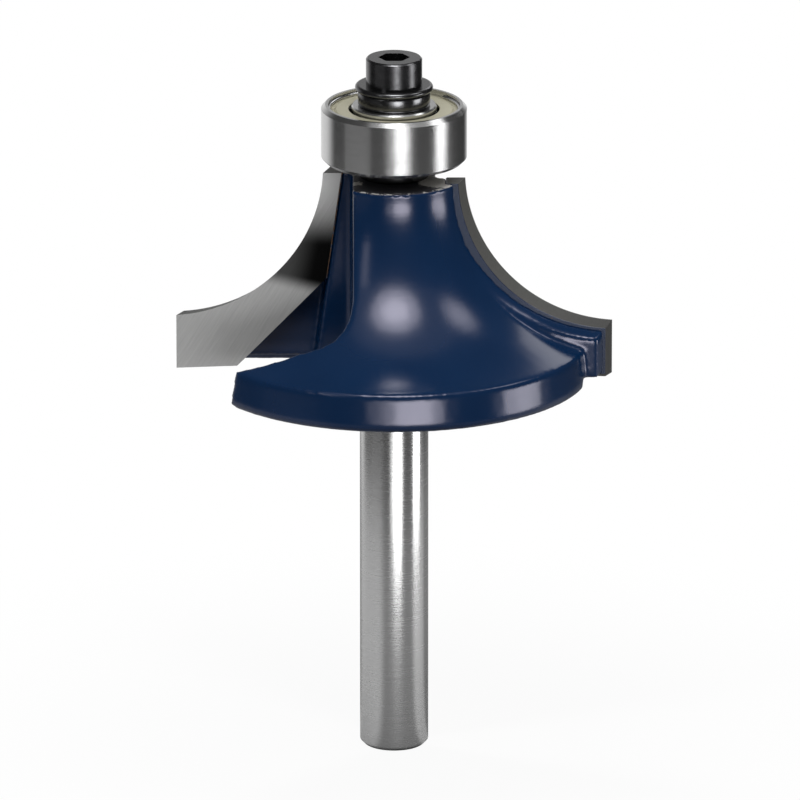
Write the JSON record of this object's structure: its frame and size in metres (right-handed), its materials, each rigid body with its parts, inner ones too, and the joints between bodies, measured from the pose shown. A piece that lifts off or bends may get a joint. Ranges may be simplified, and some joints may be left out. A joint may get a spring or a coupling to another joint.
{
  "type": "router bit",
  "caption": "Router bit for rounding over an edge: painted head with gullets and brazed carbide tips on a plain shank, with a shielded ball bearing guide clamped on top.",
  "frame": {"origin": "centre of the shank's free end face", "axes": "+Z along the bit's axis from the shank to the bearing; +X through the first carbide tip; seen from +Z the bit cuts turning anticlockwise"},
  "size_m": [0.038, 0.0344, 0.0628],
  "materials": {
    "navy_paint": "glossy paint over steel; the shank is bare ground steel",
    "carbide": "ground tungsten carbide",
    "braze": "thin copper-coloured line of braze",
    "black_oxide": "black oxide",
    "bearing_steel": "ground bright steel",
    "cage_brass": "pressed steel strip",
    "shield": "pressed sheet, dull olive tint"
  },
  "bodies": {
    "cutter": {"cutter_body": "navy_paint", "carbide_tip_a": "carbide", "carbide_tip_b": "carbide", "braze_a": "braze", "braze_b": "braze", "spacer_collar": "black_oxide", "inner_ring": "bearing_steel", "spacer_washer": "black_oxide", "flanged_washer": "black_oxide", "clamp_screw": "black_oxide"},
    "outer_race": {"outer_ring": "bearing_steel", "shield_upper": "shield", "shield_lower": "shield", "snap_ring_upper": "bearing_steel", "snap_ring_lower": "bearing_steel"},
    "ball_cage": {"cage_upper": "cage_brass", "cage_lower": "cage_brass"},
    "bearing_ball_1": {"ball_1": "bearing_steel"},
    "bearing_ball_2": {"ball_2": "bearing_steel"},
    "bearing_ball_3": {"ball_3": "bearing_steel"},
    "bearing_ball_4": {"ball_4": "bearing_steel"},
    "bearing_ball_5": {"ball_5": "bearing_steel"},
    "bearing_ball_6": {"ball_6": "bearing_steel"},
    "bearing_ball_7": {"ball_7": "bearing_steel"}
  },
  "joints": [
    {"name": "outer_ring_spin", "type": "hinge", "parent": "cutter", "child": "outer_race", "pos_m": [0, 0, 0.05606], "axis": [0, 0, 1], "continuous": true},
    {"name": "cage_turn", "type": "hinge", "parent": "cutter", "child": "ball_cage", "pos_m": [0, 0, 0.05606], "axis": [0, 0, 1], "continuous": true},
    {"name": "ball_1_spin", "type": "hinge", "parent": "ball_cage", "child": "bearing_ball_1", "pos_m": [0.00272, 0.00341, 0.05606], "axis": [0, 0, 1], "continuous": true},
    {"name": "ball_2_spin", "type": "hinge", "parent": "ball_cage", "child": "bearing_ball_2", "pos_m": [-0.00097, 0.00426, 0.05606], "axis": [0, 0, 1], "continuous": true},
    {"name": "ball_3_spin", "type": "hinge", "parent": "ball_cage", "child": "bearing_ball_3", "pos_m": [-0.00393, 0.00189, 0.05606], "axis": [0, 0, 1], "continuous": true},
    {"name": "ball_4_spin", "type": "hinge", "parent": "ball_cage", "child": "bearing_ball_4", "pos_m": [-0.00393, -0.00189, 0.05606], "axis": [0, 0, 1], "continuous": true},
    {"name": "ball_5_spin", "type": "hinge", "parent": "ball_cage", "child": "bearing_ball_5", "pos_m": [-0.00097, -0.00426, 0.05606], "axis": [0, 0, 1], "continuous": true},
    {"name": "ball_6_spin", "type": "hinge", "parent": "ball_cage", "child": "bearing_ball_6", "pos_m": [0.00272, -0.00341, 0.05606], "axis": [0, 0, 1], "continuous": true},
    {"name": "ball_7_spin", "type": "hinge", "parent": "ball_cage", "child": "bearing_ball_7", "pos_m": [0.00436, 0, 0.05606], "axis": [0, 0, 1], "continuous": true}
  ],
  "couplings": [
    {"joint": "cage_turn", "follows": "outer_ring_spin", "ratio": 0.6364},
    {"joint": "ball_1_spin", "follows": "outer_ring_spin", "ratio": 1.6971},
    {"joint": "ball_2_spin", "follows": "outer_ring_spin", "ratio": 1.6971},
    {"joint": "ball_3_spin", "follows": "outer_ring_spin", "ratio": 1.6971},
    {"joint": "ball_4_spin", "follows": "outer_ring_spin", "ratio": 1.6971},
    {"joint": "ball_5_spin", "follows": "outer_ring_spin", "ratio": 1.6971},
    {"joint": "ball_6_spin", "follows": "outer_ring_spin", "ratio": 1.6971},
    {"joint": "ball_7_spin", "follows": "outer_ring_spin", "ratio": 1.6971}
  ]
}
